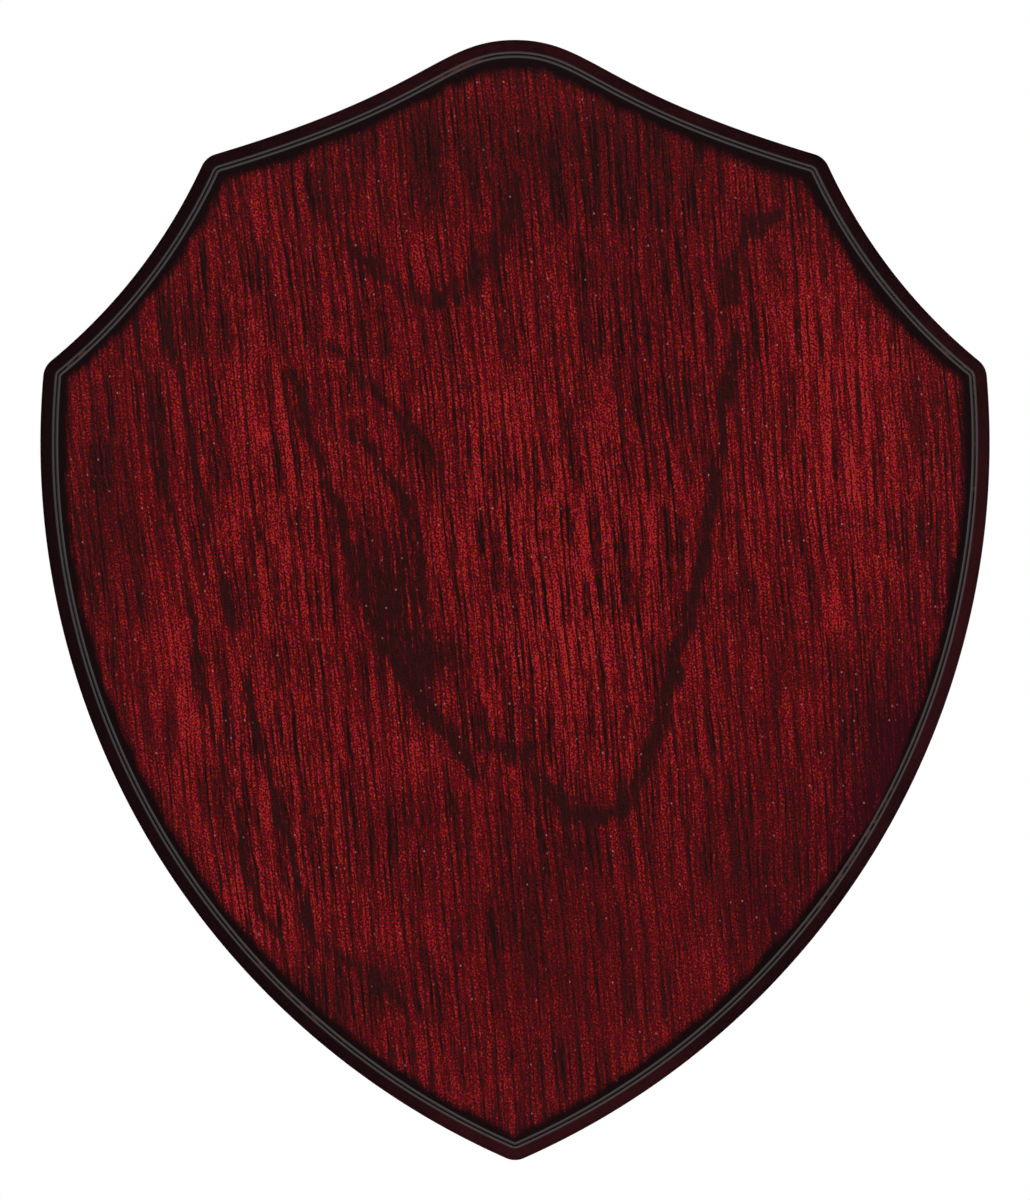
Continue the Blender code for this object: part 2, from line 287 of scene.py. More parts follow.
def ripple(points, wave, seed):
    """A smooth random field from about -1 to 1, from a few long waves in random directions."""
    draw = np.random.default_rng(seed)
    angles = draw.uniform(0, math.pi, RIPPLE_WAVES)
    phases = draw.uniform(0, 2 * math.pi, RIPPLE_WAVES)
    stretches = draw.uniform(0.6, 1.6, RIPPLE_WAVES)
    total = np.zeros(len(points))
    for angle, phase, stretch in zip(angles, phases, stretches):
        along = points[:, 0] * math.cos(angle) + points[:, 1] * math.sin(angle)
        total += np.sin(2 * math.pi * along / (wave * stretch) + phase)
    return total / RIPPLE_RANGE


def smooth_line(points):
    """Points along a Catmull-Rom curve through the given ones."""
    knots = np.array([points[0], *points, points[-1]], dtype=float)
    t = np.linspace(0, 1, LINE_SAMPLES, endpoint=False)[:, None]
    pieces = []
    for a, b, c, d in zip(knots, knots[1:], knots[2:], knots[3:]):
        pieces.append(
            0.5 * (2 * b + (c - a) * t + (2 * a - 5 * b + 4 * c - d) * t**2
                   + (3 * b - a - 3 * c + d) * t**3)
        )
    return np.vstack([*pieces, knots[-1][None]])


def swayed(points):
    """The points moved a little, so that no line of the figure is smooth."""
    return points + LINE_SWAY * np.column_stack([ripple(points, 9, 3), 2 * ripple(points, 7, 4)])


def at_places(points, places):
    """The sum at each point of soft places of (across, up, half width, half height, amount)."""
    total = np.zeros(len(points))
    for across, up, half_width, half_height, amount in places:
        sideways = (points[:, 0] - across) / half_width
        upwards = (points[:, 1] - up) / half_height
        total += amount * np.exp(-(sideways**2 + upwards**2))
    return total


def figure_darkness(points):
    """How far the dark growth lines and stains cover each point, from 0 to about 1.

    A line has a clear lower edge, and fades upwards along the grain.
    """
    clear = 1 - at_places(points, FIGURE_STAINS)
    for knots, half_width, strength in FIGURE_LINES:
        nearest = np.full(len(points), np.inf)
        for sample in smooth_line(knots):
            across, up = (points - sample).T
            up = np.where(up > 0, up * FEATHERING, up)
            nearest = np.minimum(nearest, across**2 + up**2)
        clear *= 1 - strength * np.exp(-nearest / half_width**2)
    return 1 - clear


def flat_millimetres(corners):
    """Millimetres across from the middle and up from the bottom tip."""
    return corners[:, [0, 2]] / MM + np.array([0, HANG_HEIGHT / MM])


def grain_coordinates(points):
    """Millimetres across and along the grain, which leans, fans out and sways."""
    middle = HEIGHT / MM / 2
    lean = GRAIN_LEAN - GRAIN_FAN * points[:, 0]
    across = points[:, 0] + (points[:, 1] - middle) * lean + GRAIN_SWAY * ripple(points, 55, 8)
    return np.column_stack([across, points[:, 1], np.zeros(len(points))])


# ---- Outlines -----------------------------------------------------------------------------------
def outward(tangents):
    """Unit outward normals of a line that runs clockwise, seen from the front."""
    turned = np.column_stack([-tangents[:, 1], tangents[:, 0]])
    return turned / np.linalg.norm(turned, axis=1, keepdims=True)


def bezier(start, start_handle, end_handle, end, steps):
    """Points and outward normals at even parameters of a cubic curve."""
    t = np.linspace(0, 1, steps + 1)[:, None]
    u = 1 - t
    points = start * u**3 + start_handle * 3 * u * u * t + end_handle * 3 * u * t * t + end * t**3
    tangents = (
        (start_handle - start) * u * u
        + (end_handle - start_handle) * 2 * u * t
        + (end - end_handle) * t * t
    )
    return points, outward(tangents)


def arc(start, end, sagitta, steps):
    """Points and outward normals along an arc. A positive sagitta bulges outwards."""
    chord = end - start
    length = np.linalg.norm(chord)
    along = chord / length
    normal = np.array([-along[1], along[0]])
    radius = (length**2 / 4 + sagitta**2) / (2 * sagitta)
    centre = (start + end) / 2 + normal * (sagitta - radius)
    turn = math.asin(length / 2 / radius) * (1 - 2 * np.linspace(0, 1, steps + 1)[:, None])
    directions = normal * np.cos(turn) - along * np.sin(turn)
    return centre + directions * radius, directions


def fan(corner, before, after, steps):
    """Normals that swing round a corner from the one before it to the one after it."""
    start = math.atan2(before[1], before[0])
    turn = (math.atan2(after[1], after[0]) - start + math.pi) % (2 * math.pi) - math.pi
    angles = start + turn * np.arange(1, steps) / steps
    normals = np.column_stack([np.cos(angles), np.sin(angles)])
    return np.repeat(corner[None], steps - 1, axis=0), normals


def construction_line():
    """Points and outward normals clockwise round the shield, starting at the crown."""
    slope = np.array([math.cos(SHOULDER_SLOPE), -math.sin(SHOULDER_SLOPE)])
    crown = bezier(
        CROWN_TOP,
        CROWN_TOP + np.array([CROWN_HANDLE, 0]),
        SHOULDER_CORNER - slope * SHOULDER_HANDLE,
        SHOULDER_CORNER,
        CROWN_STEPS,
    )
    hollow = arc(SHOULDER_CORNER, EAR_CORNER, HOLLOW_SAGITTA, HOLLOW_STEPS)
    flank = arc(EAR_CORNER, TIP, FLANK_SAGITTA, FLANK_STEPS)
    down = np.array([0.0, -1.0])
    half = [
        crown,
        fan(SHOULDER_CORNER, crown[1][-1], hollow[1][0], CORNER_STEPS),
        hollow,
        fan(EAR_CORNER, hollow[1][-1], flank[1][0], CORNER_STEPS),
        flank,
        fan(TIP, flank[1][-1], down, CORNER_STEPS),
        (TIP[None], down[None]),
    ]
    points = np.vstack([p for p, _ in half])
    normals = np.vstack([n for _, n in half])
    mirror = np.array([-1.0, 1.0])
    points = np.vstack([points, points[-2:0:-1] * mirror])
    normals = np.vstack([normals, normals[-2:0:-1] * mirror])
    return points - np.array([0, HANG_HEIGHT]), normals


LINE, LINE_NORMALS = construction_line()


def shield_outline(offset):
    """The shield's (x, z) outline at an offset from the construction line."""
    return LINE + LINE_NORMALS * offset


def arc_points(centre, radius, start, end, steps):
    """(x, z) points along an arc between two angles in degrees."""
    angles = np.radians(np.linspace(start, end, steps + 1))
    return np.array(centre) + radius * np.column_stack([np.cos(angles), np.sin(angles)])


def circle_outline(centre, radius):
    return arc_points(centre, radius, 0, 360, ROUND_SIDES)[:-1]


def stadium_outline(low, high, radius):
    """Two half circles about (0, low) and (0, high), joined by straight sides."""
    top = arc_points((0, high), radius, 0, 180, ROUND_SIDES)
    return np.vstack([top, arc_points((0, low), radius, 180, 360, ROUND_SIDES)])


def plate_outline(grow):
    reach = PLATE_LENGTH / 2 - PLATE_RADIUS
    return stadium_outline(KEYHOLE_MIDDLE - reach, KEYHOLE_MIDDLE + reach, PLATE_RADIUS + grow)


def keyhole_outline(grow):
    """A round entry hole with a narrower slot that rises out of it and ends round the origin."""
    slot, entry = SLOT_RADIUS + grow, ENTRY_RADIUS + grow
    join = math.degrees(math.asin(slot / entry))
    top = arc_points((0, 0), slot, 0, 180, ROUND_SIDES)
    return np.vstack([top, arc_points((0, -ENTRY_DROP), entry, 90 + join, 450 - join, ROUND_SIDES)])


def cross_outline(centre, span, width, fillet):
    """A cross of that half span and half width, its four inner corners rounded."""
    inner = arc_points((width + fillet, width + fillet), fillet, 270, 180, FILLET_STEPS)
    quarter = np.vstack([[(span, width)], inner, [(width, span)]])
    points = []
    for _ in range(4):
        points.append(quarter)
        quarter = np.column_stack([-quarter[:, 1], quarter[:, 0]])
    return np.array(centre) + np.vstack(points)


def inside(points, outline):
    """True for each (x, z) point that lies inside an outline."""
    found = np.zeros(len(points), dtype=bool)
    for a, b in zip(outline, np.roll(outline, -1, axis=0)):
        if a[1] == b[1]:
            continue
        crosses = (a[1] > points[:, 1]) != (b[1] > points[:, 1])
        x = a[0] + (points[:, 1] - a[1]) * (b[0] - a[0]) / (b[1] - a[1])
        found ^= crosses & (points[:, 0] < x)
    return found


def quarter_round(offset, depth, run, rise, steps):
    """(offset, depth) pairs from an edge's outer side up and in to its flat top."""
    angles = np.linspace(0, math.pi / 2, steps + 1)
    return [(offset + run * math.cos(a), depth + rise * math.sin(a)) for a in angles]


# ---- Mesh building ------------------------------------------------------------------------------
class Shell:
    """A closed surface of flat rings at a depth, the walls between them and caps over them."""

    def __init__(self):
        self.corners = []
        self.faces = []

    def ring(self, outline, depth):
        """Adds corners at an (x, z) outline and returns their numbers."""
        first = len(self.corners)
        self.corners += [(x, -depth, z) for x, z in outline]
        return range(first, len(self.corners))

    def wall(self, *rings):
        """Quads between neighbouring rings of equal length. Returns the first and last ring."""
        for low, high in zip(rings, rings[1:]):
            for i in range(len(low)):
                j = (i + 1) % len(low)
                self.faces.append((low[i], low[j], high[j], high[i]))
        return rings[0], rings[-1]

    def cap(self, outer, holes=(), between=()):
        """Fills a ring with triangles, less its holes, through the corners between them."""
        numbers = [*outer]
        edges = [(i, (i + 1) % len(outer)) for i in range(len(outer))]
        for hole in holes:
            first, count = len(numbers), len(hole)
            edges += [(first + i, first + (i + 1) % count) for i in range(count)]
            numbers += hole
        numbers += between
        flat = [(self.corners[n][0], self.corners[n][2]) for n in numbers]
        filled = delaunay_2d_cdt([Vector(p) for p in flat], edges, [], 1, MERGE_DISTANCE)
        triangles = [[numbers[filled[3][i][0]] for i in triangle] for triangle in filled[2]]
        middles = np.array(self.corners)[triangles].mean(axis=1)[:, [0, 2]]
        kept = np.ones(len(triangles), dtype=bool)
        for hole in holes:
            kept &= ~inside(middles, np.array(self.corners)[list(hole)][:, [0, 2]])
        self.faces += [tuple(t) for t, keep in zip(triangles, kept) if keep]

    def piece(self, name, material, node, slot):
        """The finished piece, which stands for a CAD node. Its faces are turned outwards."""
        mesh = bpy.data.meshes.new(name)
        mesh.from_pydata(self.corners, [], self.faces)
        bm = bmesh.new()
        bm.from_mesh(mesh)
        bmesh.ops.recalc_face_normals(bm, faces=bm.faces)
        bm.to_mesh(mesh)
        bm.free()
        mesh.materials.append(material)
        mesh.shade_smooth()
        mesh.set_sharp_from_angle(angle=SHARP_ANGLE)
        piece = bpy.data.objects.new(name, mesh)
        bpy.context.scene.collection.objects.link(piece)
        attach(piece, "root")
        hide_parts(node)
        return piece


def set_attribute(piece, name, values):
    """A number or vector on each corner of a piece, which its material reads by that name."""
    flat = np.asarray(values, dtype=np.float32)
    vector = flat.ndim == 2
    attribute = piece.data.attributes.new(name, "FLOAT_VECTOR" if vector else "FLOAT", "POINT")
    attribute.data.foreach_set("vector" if vector else "value", flat.ravel())


# ---- Materials ----------------------------------------------------------------------------------
# A Mix node's sockets for colours. Its other sockets are for numbers, vectors and rotations.
MIX_FIRST_COLOUR = 6
MIX_SECOND_COLOUR = 7
MIX_COLOUR = 2


def srgb(red, green, blue):
    """A linear colour from 8-bit display values."""
    values = []
    for value in (red, green, blue):
        v = value / 255
        values.append(v / 12.92 if v <= 0.04045 else ((v + 0.055) / 1.055) ** 2.4)
    return (*values, 1.0)


def dimmed(colour, light):
    """The surface colour that shows as the given one under that much light."""
    return (*(c / light for c in colour[:3]), 1.0)


class Shade:
    """One procedural material, with short calls that add and link its nodes."""

    def __init__(self, name, roughness, metallic=0.0, specular=0.5, coat=0.0, coat_roughness=0.1):
        self.material = bpy.data.materials.new(name)
        self.material.use_nodes = True
        self.tree = self.material.node_tree
        self.shader = self.tree.nodes["Principled BSDF"]
        self.put("Roughness", roughness)
        self.put("Metallic", metallic)
        self.put("Specular IOR Level", specular)
        self.put("Coat Weight", coat)
        self.put("Coat Roughness", coat_roughness)

    def put(self, socket, value):
        self.connect(value, self.shader.inputs[socket])

    def connect(self, value, socket):
        """Links a socket, or sets it where the value is a number or a colour."""
        if isinstance(value, bpy.types.NodeSocket):
            self.tree.links.new(value, socket)
        else:
            socket.default_value = value

    def node(self, kind, inputs, **settings):
        made = self.tree.nodes.new(kind)
        for key, value in settings.items():
            setattr(made, key, value)
        for key, value in inputs.items():
            self.connect(value, made.inputs[key])
        return made

    def attribute(self, name, output="Fac"):
        return self.node("ShaderNodeAttribute", {}, attribute_name=name).outputs[output]

    def place(self):
        """The point's place in metres."""
        return self.node("ShaderNodeTexCoord", {}).outputs["Object"]

    def stretched(self, vector, sizes, shift=0.0):
        """The vector divided by a feature size on each axis, and shifted to another sample."""
        scale = tuple(1 / size for size in sizes)
        return self.node(
            "ShaderNodeMapping", {"Vector": vector, "Scale": scale, "Location": (shift,) * 3}
        ).outputs["Vector"]

    def noise(self, vector, sizes, detail=1.0, shift=0.0):
        """Smooth noise from 0 to 1 about 0.5, whose features have those sizes."""
        moved = self.stretched(vector, sizes, shift)
        return self.node(
            "ShaderNodeTexNoise", {"Vector": moved, "Scale": 1.0, "Detail": detail}
        ).outputs["Fac"]

    def calc(self, operation, first, second=0.0, clamp=False):
        return self.node(
            "ShaderNodeMath", {0: first, 1: second}, operation=operation, use_clamp=clamp
        ).outputs["Value"]

    def weighted(self, base, *terms):
        """base plus each (value, weight) term, the value counted from 0.5."""
        total = base
        for value, weight in terms:
            centred = self.calc("SUBTRACT", value, 0.5)
            total = self.calc("ADD", total, self.calc("MULTIPLY", centred, weight))
        return total

    def remap(self, value, low, high, to_low=0.0, to_high=1.0):
        """A smooth step from to_low to to_high as the value goes from low to high."""
        inputs = {
            "Value": value,
            "From Min": low,
            "From Max": high,
            "To Min": to_low,
            "To Max": to_high,
        }
        return self.node(
            "ShaderNodeMapRange", inputs, interpolation_type="SMOOTHSTEP"
        ).outputs["Result"]

    def ramp(self, value, stops):
        """Colours at positions from 0 to 1."""
        made = self.node("ShaderNodeValToRGB", {"Fac": value})
        elements = made.color_ramp.elements
        elements.remove(elements[1])
        elements[0].position, elements[0].color = stops[0]
        for position, colour in stops[1:]:
            elements.new(position).color = colour
        return made.outputs["Color"]

    def moved_across(self, vector, shift):
        """The vector with a shift added on its first axis."""
        offset = self.node("ShaderNodeCombineXYZ", {"X": shift}).outputs["Vector"]
        return self.node(
            "ShaderNodeVectorMath", {0: vector, 1: offset}, operation="ADD"
        ).outputs["Vector"]

    def mix(self, amount, first, second):
        """The first colour at an amount of 0, the second at 1."""
        made = self.node("ShaderNodeMix", {0: amount}, data_type="RGBA")
        self.connect(first, made.inputs[MIX_FIRST_COLOUR])
        self.connect(second, made.inputs[MIX_SECOND_COLOUR])
        return made.outputs[MIX_COLOUR]

    def bump(self, height, depth):
        """Raises the surface by height times depth, in metres."""
        made = self.node("ShaderNodeBump", {"Height": height, "Strength": 1.0, "Distance": depth})
        self.put("Normal", made.outputs["Normal"])


# How much brighter the lights show the face and the moulded edge than their colours are.
FACE_LIGHT = 1.35
EDGE_LIGHT = 1.05
PAINT_DARK = srgb(24, 10, 12)
# The edge's paint as painted light shows it where light falls on it, not a second paint.
PAINT_LIT = srgb(48, 16, 20)
BARE_EDGE = srgb(96, 44, 26)
VEIL = srgb(54, 12, 21)
# Nibs in the lacquer painted as pale glints, a painted highlight.
GLINT_SPECK = srgb(205, 122, 122)
WOOD_COLOURS = [
    (0.00, srgb(32, 16, 15)),
    (0.16, srgb(54, 19, 20)),
    (0.28, srgb(69, 17, 21)),
    (0.48, srgb(97, 11, 19)),
    (0.70, srgb(128, 17, 23)),
    (0.85, srgb(150, 26, 31)),
    (1.00, srgb(182, 37, 44)),
]
# The lightness of plain wood and of the dark growth lines, as positions among these colours.
WOOD_MEAN = 0.338
FIGURE_VALUE = 0.13
# The speckle's noise is turned so that its square lattice doesn't show along the grain.
SPECKLE_TURN = math.radians(34)
HUE_DRIFT = 0.06
HUE_MIDDLE = 0.501


def wavy(shade, grain):
    """The grain's coordinates with the small bends that its vessel lines have."""
    bend = shade.noise(grain, (2.2, 9.0, 1.0), detail=1.0, shift=3.0)
    return shade.moved_across(grain, shade.weighted(0.0, (bend, 0.75)))


def wood_value(shade, grain):
    """The wood's lightness from 0 to 1: figure, streaks, dark vessel lines and fine speckle."""
    tone = shade.attribute("tone")
    contrast = shade.attribute("vessels")
    bent = wavy(shade, grain)
    streaks = shade.noise(grain, (2.6, 40.0, 1.0), detail=2.0, shift=5.0)
    lines = shade.noise(bent, (0.94, 30.0, 1.0), detail=1.0, shift=11.0)
    vessels = shade.remap(lines, 0.40, 0.54)
    thin_lines = shade.noise(bent, (0.50, 15.0, 1.0), detail=0.0, shift=23.0)
    thin_vessels = shade.remap(thin_lines, 0.36, 0.50)
    fibres = shade.noise(bent, (0.42, 2.8, 1.0), detail=1.0, shift=37.0)
    turned = shade.node(
        "ShaderNodeVectorRotate", {"Vector": grain, "Angle": SPECKLE_TURN}, rotation_type="Z_AXIS"
    ).outputs["Vector"]
    speckle = shade.noise(turned, (0.38, 0.46, 1.0), detail=0.0, shift=51.0)
    grooves = shade.weighted(0.0, (vessels, 0.31), (thin_vessels, 0.30), (fibres, 0.84))
    value = shade.weighted(shade.calc("ADD", tone, WOOD_MEAN), (streaks, 0.42))
    value = shade.calc("ADD", value, shade.calc("MULTIPLY", grooves, contrast))
    reach = shade.calc("ADD", value, 0.12, clamp=True)
    value = shade.weighted(value, (speckle, shade.calc("MULTIPLY", reach, 2.3)))
    ragged = shade.weighted(1.0, (lines, -2.0), (thin_lines, -1.3), (fibres, -1.3))
    figure = shade.calc("MULTIPLY", shade.attribute("figure"), ragged)
    figure = shade.remap(figure, 0.10, 0.72)
    plain = shade.weighted(FIGURE_VALUE, (fibres, 0.25), (speckle, 0.35))
    kept = shade.calc("MULTIPLY", value, shade.calc("SUBTRACT", 1.0, figure))
    return shade.calc("ADD", kept, shade.calc("MULTIPLY", plain, figure))


def add_speck_glints(shade, grain, colour):
    """Rare nibs and short scratches in the lacquer, painted as pale glints."""
    near = shade.node(
        "ShaderNodeTexVoronoi",
        {"Vector": shade.stretched(grain, (2.9, 3.7, 1.0), 9.0), "Scale": 1.0},
        voronoi_dimensions="2D",
    )
    dot = shade.remap(near.outputs["Distance"], 0.085, 0.030)
    chosen = shade.remap(near.outputs["Color"], 0.66, 0.95)
    # Painted glints on the chosen nibs.
    glint_amount = shade.calc("MULTIPLY", shade.calc("MULTIPLY", dot, chosen), 0.8)
    return shade.mix(glint_amount, colour, dimmed(GLINT_SPECK, FACE_LIGHT))


def rosewood():
    """Stained open-grained veneer under clear gloss lacquer, sprayed dark round its edge."""
    shade = Shade("rosewood_face", 0.55, specular=0.0, coat=1.0, coat_roughness=0.09)
    grain = shade.attribute("grain", "Vector")
    value = wood_value(shade, grain)
    wood = shade.ramp(value, [(p, dimmed(c, FACE_LIGHT)) for p, c in WOOD_COLOURS])
    drift = shade.noise(grain, (0.6, 1.6, 1.0), detail=2.0, shift=61.0)
    hue = shade.weighted(HUE_MIDDLE, (drift, HUE_DRIFT))
    wood = shade.node("ShaderNodeHueSaturation", {"Color": wood, "Hue": hue}).outputs["Color"]
    mist = shade.noise(grain, (1.8, 2.6, 1.0), detail=3.0, shift=82.0)
    veil = shade.weighted(shade.attribute("veil"), (mist, 0.9), (value, -0.5))
    veil = shade.remap(veil, 0.1, 0.95)
    colour = add_speck_glints(shade, grain, shade.mix(veil, wood, dimmed(VEIL, FACE_LIGHT)))

    inset = shade.calc("SUBTRACT", STEP_OFFSET / MM, shade.attribute("edge"))
    spray = shade.noise(grain, (5.0, 8.0, 1.0), detail=3.0, shift=70.0)
    reach = shade.calc("DIVIDE", inset, shade.attribute("burn"))
    burnt = shade.remap(shade.weighted(reach, (spray, 1.2)), 1.7, 0.7)
    colour = shade.mix(burnt, colour, dimmed(PAINT_DARK, FACE_LIGHT))

    worn = shade.noise(grain, (2.0, 2.6, 1.0), detail=3.0, shift=90.0)
    rubbed = shade.weighted(shade.attribute("rub"), (worn, 1.5))
    rubbed = shade.remap(rubbed, 0.42, 0.80)
    band = shade.remap(inset, 0.55, 0.20)
    colour = shade.mix(shade.calc("MULTIPLY", rubbed, band), colour, dimmed(BARE_EDGE, FACE_LIGHT))
    shade.put("Base Color", colour)
    return shade.material


def edge_paint():
    """Gloss maroon-black paint over the moulded fibreboard edge, with a faint spray texture, and
    painted lighter at its top, right side and bottom as painted light.
    """
    shade = Shade("edge_lacquer", 0.5, specular=0.0, coat=1.0, coat_roughness=0.11)
    place = shade.place()
    clouds = shade.noise(place, (0.009, 0.009, 0.009), detail=3.0, shift=4.0)
    spatter = shade.noise(place, (0.0009, 0.0009, 0.0009), detail=2.0, shift=8.0)
    # Painted light: the edge is painted lighter and redder at its top, right side and bottom,
    # mottled by the paint's spray texture.
    sheen_and_mottle = shade.weighted(shade.attribute("edge_sheen"), (clouds, 0.9), (spatter, 0.7))
    sheen_and_mottle = shade.remap(sheen_and_mottle, 0.0, 1.0)
    paint = shade.mix(sheen_and_mottle, dimmed(PAINT_DARK, EDGE_LIGHT), dimmed(PAINT_LIT, EDGE_LIGHT))
    fluff = shade.noise(place, (0.0004, 0.0004, 0.0004), detail=3.0, shift=15.0)
    board = shade.ramp(fluff, [(0.35, srgb(104, 74, 48)), (0.65, srgb(150, 116, 82))])
    raw = shade.attribute("raw")
    shade.put("Base Color", shade.mix(raw, paint, board))
    shade.put("Coat Weight", shade.calc("SUBTRACT", 1.0, raw))
    height = shade.weighted(0.0, (spatter, 0.4), (fluff, shade.calc("MULTIPLY", raw, 3.0)))
    shade.bump(height, 0.00004)
    return shade.material


def stained_back():
    """Dark satin stain on plain veneer, with its grain, brush streaks and a few scuffs."""
    shade = Shade("back_stain", 0.45, specular=0.35)
    place = shade.place()
    bend = shade.noise(place, (0.012, 0.012, 0.05), detail=1.0, shift=2.0)
    bent = shade.moved_across(place, shade.calc("MULTIPLY", bend, 0.004))
    streaks = shade.noise(bent, (0.0032, 0.02, 0.07), detail=3.0, shift=5.0)
    lines = shade.noise(bent, (0.0007, 0.02, 0.016), detail=2.0, shift=9.0)
    pores = shade.noise(bent, (0.00035, 0.02, 0.004), detail=1.0, shift=12.0)
    pores = shade.remap(pores, 0.30, 0.42)
    brush = shade.noise(place, (0.02, 0.02, 0.002), detail=2.0, shift=20.0)
    value = shade.weighted(0.5, (streaks, 1.1), (lines, 0.9), (pores, 0.5), (brush, 0.35))
    stain = shade.ramp(
        value,
        [
            (0.00, srgb(20, 11, 10)),
            (0.35, srgb(36, 17, 15)),
            (0.70, srgb(60, 27, 21)),
            (1.00, srgb(86, 42, 31)),
        ],
    )
    scuffs = shade.noise(place, (0.0012, 0.02, 0.009), detail=4.0, shift=33.0)
    scuffs = shade.remap(scuffs, 0.68, 0.76, 0.0, 0.5)
    shade.put("Base Color", shade.mix(scuffs, stain, srgb(112, 72, 52)))
    shade.put("Roughness", shade.remap(value, 0.0, 1.0, 0.55, 0.38))
    shade.bump(shade.weighted(0.0, (pores, 1.0), (lines, 0.6), (streaks, 0.3)), 0.00005)
    return shade.material


def plated_steel():
    """Nickel-plated sheet steel, brushed lengthwise, with cloudy patches and a few dull spots."""
    shade = Shade("plated_steel", 0.32, metallic=1.0)
    place = shade.place()
    brushed = shade.noise(place, (0.00009, 0.01, 0.011), detail=3.0, shift=1.0)
    clouds = shade.noise(place, (0.004, 0.004, 0.006), detail=4.0, shift=6.0)
    spots = shade.noise(place, (0.0008, 0.0008, 0.0008), detail=3.0, shift=17.0)
    spots = shade.remap(spots, 0.62, 0.72)
    value = shade.weighted(0.5, (brushed, 0.7), (clouds, 0.8))
    colour = shade.ramp(value, [(0.2, (0.42, 0.40, 0.36, 1.0)), (0.8, (0.72, 0.70, 0.66, 1.0))])
    dull = shade.calc("MULTIPLY", spots, 0.6)
    shade.put("Base Color", shade.mix(dull, colour, (0.20, 0.17, 0.13, 1.0)))
    shade.put("Roughness", shade.weighted(0.32, (brushed, 0.35), (clouds, 0.2), (spots, 0.15)))
    shade.bump(brushed, 0.000012)
    return shade.material


def screw_steel():
    """Yellow zinc plating, whose tint drifts between straw, rose and green."""
    shade = Shade("screw_steel", 0.28, metallic=1.0)
    place = shade.place()
    drift = shade.noise(place, (0.0018, 0.0018, 0.0018), detail=2.0, shift=3.0)
    grit = shade.noise(place, (0.00018, 0.00018, 0.00018), detail=2.0, shift=7.0)
    colour = shade.ramp(
        shade.weighted(0.5, (drift, 1.6), (grit, 0.5)),
        [
            (0.15, srgb(168, 176, 128)),
            (0.45, srgb(206, 182, 112)),
            (0.70, srgb(214, 170, 122)),
            (0.95, srgb(178, 140, 130)),
        ],
    )
    shade.put("Base Color", colour)
    shade.put("Roughness", shade.remap(grit, 0.2, 0.8, 0.22, 0.45))
    shade.bump(grit, 0.00001)
    return shade.material


def pad_rubber():
    """Matt black rubber with a fine moulded grain and some dust."""
    shade = Shade("pad_rubber", 0.72, specular=0.3)
    place = shade.place()
    grit = shade.noise(place, (0.00022, 0.00022, 0.00022), detail=3.0, shift=3.0)
    dust = shade.noise(place, (0.0022, 0.0022, 0.0022), detail=4.0, shift=8.0)
    value = shade.weighted(0.35, (grit, 0.9), (dust, 1.3))
    shade.put("Base Color", shade.ramp(value, [(0.1, srgb(24, 24, 25)), (0.9, srgb(64, 62, 60))]))
    shade.put("Roughness", shade.remap(dust, 0.3, 0.7, 0.62, 0.85))
    shade.bump(grit, 0.00006)
    return shade.material


def plain_material(name, colour, roughness, metallic=0.0):
    material = bpy.data.materials.new(name)
    material.use_nodes = True
    shader = material.node_tree.nodes["Principled BSDF"]
    shader.inputs["Base Color"].default_value = (*colour, 1.0)
    shader.inputs["Roughness"].default_value = roughness
    shader.inputs["Metallic"].default_value = metallic
    return material


# ---- Board --------------------------------------------------------------------------------------
def screw_places():
    """The centre of each hanger screw, from its node's box."""
    places = {}
    for node in ("hanger_screw_upper", "hanger_screw_lower"):
        low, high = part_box(node)
        places[node] = ((low.x + high.x) / 2, (low.z + high.z) / 2)
    return places


def make_core():
    """The painted board, with the hanger's recess, the pocket behind the keyhole and the screw
    holes left as raw fibreboard."""
    shoulder = FACE_FRONT - STEP_HEIGHT
    start = STEP_OFFSET + QUIRK_WIDTH
    profile = [(OUTER_OFFSET, CORE_REAR)]
    profile += quarter_round(
        start, shoulder - ROUND_DROP, OUTER_OFFSET - start, ROUND_DROP, ROUND_STEPS
    )
    profile += [(STEP_OFFSET, shoulder), (STEP_OFFSET, CORE_FRONT)]
    shell = Shell()
    rear, front = shell.wall(*[shell.ring(shield_outline(o), depth) for o, depth in profile])
    shell.cap(front)
    painted = len(shell.corners)

    recess = plate_outline(RECESS_CLEARANCE)
    mouth, floor = shell.wall(shell.ring(recess, CORE_REAR), shell.ring(recess, RECESS_FLOOR))
    shell.cap(rear, [mouth])
    pocket = stadium_outline(-ENTRY_DROP, 0.0, POCKET_RADIUS)
    cuts = [(pocket, RECESS_FLOOR + POCKET_DEPTH)]
    for place in screw_places().values():
        bore = circle_outline(place, SCREW_HOLE_RADIUS)
        cuts.append((bore, BACK_REAR + SCREW_LENGTH + HOLE_SPARE_DEPTH))
    holes = []
    for outline, depth in cuts:
        hole, end = shell.wall(shell.ring(outline, RECESS_FLOOR), shell.ring(outline, depth))
        shell.cap(end)
        holes.append(hole)
    shell.cap(floor, holes)

    piece = shell.piece("painted_core", edge_paint(), "core_board", "edge_lacquer")
    corners = np.array(shell.corners)
    set_attribute(piece, "edge_sheen", at_places(flat_millimetres(corners), LIT_EDGE_PLACES))
    set_attribute(piece, "raw", np.arange(len(corners)) >= painted)


def edge_distance(points):
    """Distance of flat points from the construction line, in metres."""
    steps = np.roll(LINE, -1, axis=0) - LINE
    lengths = np.maximum((steps**2).sum(axis=1), MERGE_DISTANCE**2)
    nearest = []
    for block in np.array_split(points, len(points) // BLOCK_SIZE + 1):
        reach = block[:, None] - LINE[None]
        along = np.clip((reach * steps).sum(axis=2) / lengths, 0, 1)
        gap = reach - along[..., None] * steps
        nearest.append(np.sqrt((gap**2).sum(axis=2).min(axis=1)))
    return np.concatenate(nearest)


